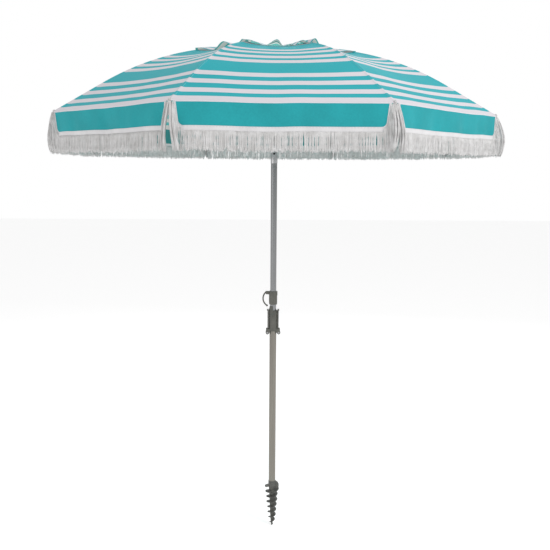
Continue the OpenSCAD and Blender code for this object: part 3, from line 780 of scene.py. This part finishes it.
def make_flap(k, side):
    """Half of the flap on one side of rib k, its lower corner rounded."""
    outward = heading(azimuth(k) + side * HALF)

    def shape(a, b):
        down = FLAP_H * math.sin(b * math.pi / 2)
        past = max(0.0, down - (FLAP_H - FLAP_CORNER))
        start = FLAP_EDGE + FLAP_SLANT * min(1, down / (FLAP_H - FLAP_CORNER))
        start += FLAP_CORNER - math.sqrt(max(0.0, FLAP_CORNER ** 2 - past ** 2))
        s = start + (HALF_CHORD * 1.001 - start) * a
        return flap_point(k, side, s, down - 0.001), (s * side, down)
    flap = fitted_grid("flap", 56, 18, shape, outward)
    paint(flap, FLAP_OUT, FLAP_IN_SHADED)
    return thicken(flap, CLOTH, inner=1)


def make_tape_strip(k, side):
    """Tape along a half flap's side, round its corner and along its bottom."""
    outward = heading(azimuth(k) + side * HALF)

    def shape(a, b):
        t = 3 * a
        s, down, (push_s, push_down) = flap_outline(t)
        width = 0.005 + (TAPE_W - 0.005) * max(0.0, min(1, t - 1))
        reach = -0.002 + (width + 0.002) * b
        return (flap_point(k, side, s + push_s * reach, down + push_down * reach, 0.0007),
                (t * 0.11, width * b))
    strip = fitted_grid("tape", 96, 3, shape, outward)
    paint(strip, TAPE)
    return thicken(strip, 0.0009, offset=0.0)


def make_cord_model():
    """One fringe cord a metre long, hanging down from the origin, with a knot near its end."""
    profile = [(0, 0), (0.9, -0.01), (1.15, -0.18), (0.85, -0.34), (1.15, -0.5), (0.85, -0.66),
               (1.1, -0.8), (1.45, -0.88), (0.9, -0.94), (0, -1)]
    cord = turned("cord_model", [(r * 0.0017, z) for r, z in profile], steps=5)
    corners = [vertex.co.copy() for vertex in cord.data.vertices]
    faces = [list(face.vertices) for face in cord.data.polygons]
    bpy.data.objects.remove(cord)
    return corners, faces


CORD_CORNERS, CORD_FACES = make_cord_model()


def cord_runs(k, side):
    """How each cord of half a flap hangs: s and down of its top, of its bottom, thickness, bulge."""
    hang = random.Random(k * 10 + side)
    bottom = FLAP_H + TAPE_W + FRINGE_L
    s = FLAP_EDGE + FLAP_SLANT + FLAP_CORNER * 0.7
    while s < HALF_CHORD - 0.001:
        yield (s, FLAP_H + TAPE_W - 0.001, s + hang.gauss(0, 0.0018), bottom + hang.uniform(-0.006, 0.004),
               hang.uniform(0.95, 1.5), 0.0)
        s += hang.uniform(0.0017, 0.0028)
    parting = PARTING.get(k, 0.002)
    for step in range(18):               # from the side tape and the rounded corner
        share = step / 17
        s_edge, down, _ = flap_outline(0.05 + 1.7 * share)
        s_low = max(parting, s_edge - 0.006) + hang.gauss(0, 0.0015)
        yield (s_edge - 0.003 * (1 - share), down + 0.003, s_low, bottom + hang.uniform(-0.006, 0.005),
               hang.uniform(0.9, 1.35), 0.026 * (1 - share) * hang.uniform(0.6, 1.0))
    for step in range(22):               # the bunch between two flaps
        share = hang.random()
        yield (0.017 * share - 0.002, 0.001 + 0.032 * hang.random() ** 2, parting + 0.021 * share,
               bottom + hang.uniform(-0.010, 0.004), hang.uniform(0.95, 1.35), hang.uniform(0.012, 0.033))


def make_fringe(k):
    """All the cords under the flaps beside rib k, copies of one cord, each hung its own way."""
    sway = random.Random(k * 7)
    corners, faces, cuts = [], [], []
    for side in (-1, 1):
        for s0, top, s1, low, thick, bulge in cord_runs(k, side):
            first = len(corners)
            curl, phase = sway.uniform(-0.0022, 0.0022), sway.uniform(0, math.tau)
            front = sway.uniform(0, 0.0028)
            spin = Matrix.Rotation(phase, 3, "Z")
            for corner in CORD_CORNERS:
                share = -corner.z
                s = s0 + (s1 - s0) * share ** 0.8 + curl * math.sin(share * math.pi)
                round_it = spin @ Vector((corner.x, corner.y, 0)) * thick
                middle = flap_point(k, side, s, top + (low - top) * share, 0.0008 + front * share)
                middle += heading(azimuth(k)) * bulge * FULLNESS.get(k, 1) * math.sin(2.5 * share)
                corners.append(middle + round_it)
                cuts.append((math.atan2(corner.y, corner.x) / math.tau, share * (low - top)))
            faces += [[first + i for i in face] for face in CORD_FACES]
    mesh = bpy.data.meshes.new(f"fringe_{k}")
    mesh.from_pydata(corners, [], faces)
    layer = mesh.uv_layers.new(name="cut")
    for loop in mesh.loops:
        layer.data[loop.index].uv = cuts[loop.vertex_index]
    fringe = bpy.data.objects.new(f"fringe_{k}", mesh)
    bpy.context.scene.collection.objects.link(fringe)
    paint(fringe, FRINGE)
    return smooth(fringe, 70)


def make_knot(k):
    """The white knot that ties the cloth to the rib's tip, with its small loop."""
    out = heading(azimuth(k))
    place = out * (RIM + 0.006) + Vector((0, 0, TIP.z - 0.006))
    deselect()
    bpy.ops.mesh.primitive_uv_sphere_add(segments=20, ring_count=12, radius=0.0062, location=place)
    ball = bpy.context.object
    ball.scale = (1.0, 1.0, 1.35)
    settle(ball)
    deselect()
    bpy.ops.mesh.primitive_torus_add(
        major_radius=0.0062, minor_radius=0.0019, major_segments=28, minor_segments=10,
        location=place - Vector((0, 0, 0.011)), rotation=(math.pi / 2, 0, azimuth(k) + math.pi / 2))
    loop = settle(bpy.context.object)
    knot = join(f"tip_knot_{k}", ball, loop)
    knot.data.uv_layers.active.name = "cut"
    paint(knot, FRINGE)
    return smooth(knot, 60)


def make_valance(k):
    """The two half flaps beside rib k with their trimmings, riding the rib's flap."""
    flap = join(f"valance_flap_{k}", make_flap(k, -1), make_flap(k, 1))
    tape = join(f"valance_tape_{k}", make_tape_strip(k, -1), make_tape_strip(k, 1))
    fringe = make_fringe(k)
    knot = make_knot(k)
    soft(flap, k, f"flap_{k}", "canopy_cloth", f"valance_{k}", GATHER)
    for trim in (tape, fringe, knot):
        soft(trim, k, f"flap_{k}", "valance_fringe", None, GATHER)


# ---- auger
BLADE = ((0.0, 0.004), (0.017, 0.012), (0.04, 0.017), (0.07, 0.021), (0.10, 0.0222), (0.127, 0.0265),
         (0.16, 0.0275), (0.185, 0.033), (0.20, 0.035), (0.215, 0.033), (0.24, 0.02))


def blade_radius(z):
    """The blade's reach at height z, eased between its measures."""
    for (a, low), (b, high) in zip(BLADE, BLADE[1:]):
        if z <= b:
            share = max(0.0, (z - a) / (b - a))
            return low + (high - low) * share * share * (3 - 2 * share)
    return BLADE[-1][1]


def make_auger():
    """The ground screw: a tapered core, a blade wound round it and a round lug at its top."""
    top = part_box("auger")[1].z
    rim_z = 0.232
    core = turned("core", [(0, 0), (0.003, 0.004), (0.0052, 0.02), (0.0078, 0.06), (0.0100, 0.11),
                           (0.0125, 0.16), (0.0142, 0.19), (0.0172, 0.205), (0.0172, rim_z - 0.001),
                           (0.0165, rim_z), (0.0120, rim_z), (0.0118, top), (0, top)], steps=56)
    turns, pitch, start = 7.6, 0.0264, 0.0048
    steps = int(44 * turns)
    mesh = bpy.data.meshes.new("blade")
    section = [(0.002, 0, -0.0045), (0.5, 0, -0.0019), (0.93, 0, -0.0013), (1.0, 0, -0.0004),
               (1.0, 0, 0.0006), (0.9, 0, 0.0012), (0.5, 0, 0.0022), (0.002, 0, 0.0055)]
    count = len(section)
    mesh.from_pydata(section, [(i, (i + 1) % count) for i in range(count)], [])
    blade = bpy.data.objects.new("blade", mesh)
    bpy.context.scene.collection.objects.link(blade)
    modify(blade, "SCREW", angle=math.tau * turns, screw_offset=pitch * turns, steps=steps,
           render_steps=steps, axis="Z")
    edit(blade, (bpy.ops.mesh.fill_holes, dict(sides=0)),
         (bpy.ops.mesh.select_all, dict(action="SELECT")),
         (bpy.ops.mesh.normals_make_consistent, dict(inside=False)))
    for vertex in blade.data.vertices:
        reach = blade_radius(vertex.co.z + start)
        vertex.co.x *= reach
        vertex.co.y *= reach
        vertex.co.z += start
    deselect()
    bpy.ops.mesh.primitive_cylinder_add(vertices=56, radius=0.0245, depth=0.017, location=(0.0085, 0, 0.2055),
                                        rotation=(math.pi / 2, 0, 0))
    lug = settle(bpy.context.object)
    modify(lug, "BEVEL", width=0.0055, segments=5, angle_limit=math.radians(60))
    auger = join("ground_screw", core, blade, lug)
    paint(smooth(auger, 50), AUGER)
    keep(auger, "lower_pole", "auger_plastic", "auger")


# ---- fittings and poles
SOFTENED = (("handle_housing", "lock_housing", "lower_pole", "fitting_plastic", FITTING, 0.0010),
            ("handle_left", "left_grip", "left_handle", "fitting_plastic", FITTING, 0.0010),
            ("handle_right", "right_grip", "right_handle", "fitting_plastic", FITTING, 0.0010),
            ("hook_collar", "bag_hook", "upper_pole", "fitting_plastic", FITTING, 0.0008),
            ("height_button", "height_knob", "height_lock_button", "button_plastic", FITTING, 0.0004),
            ("tilt_button", "tilt_knob", "tilt_lock_button", "button_plastic", BLACK, 0.0008),
            ("hub", "rib_crown", "top_pole", "hub_plastic", HUB, 0.0007),
            ("runner", "stretcher_runner", "sliding_runner", "hub_plastic", HUB, 0.0007),
            ("tilt_tongue", "joint_tongue", "top_pole", "tongue_metal", CASTING, 0.0005),
            ("top_cap", "crown_cap", "top_pole", "hub_plastic", HUB, 0.0009))
FINISHES = {"upper_tube": POLE_METAL, "top_tube": POLE_METAL, "lower_tube": LOWER_METAL,
            "handle_pins": CASTING, "collar_screw": CASTING, "tilt_pin": ZINC, "tilt_socket": SLEEVE_METAL,
            "height_spring": SPRING, "runner_catch": SPRING, "rib": ZINC, "stretcher": ZINC,
            "rib_tip": BLACK}


def make_fittings():
    """Rounds the moulded fittings and gives every CAD piece that stays in sight its finish."""
    for node, name, body, slot, material, radius in SOFTENED:
        piece = softened(node, name, radius)
        paint(piece, material)
        keep(piece, body, slot, node)
    for node, obj in NODES.items():
        finish = FINISHES.get(node) or FINISHES.get(node.rsplit("_", 1)[0])
        if finish:
            paint(obj, finish)


# ---- the whole
make_camera()
make_stage()
for rib in RIBS:
    make_panel(rib)
    make_vent(rib)
    make_valance(rib)
make_auger()
make_fittings()
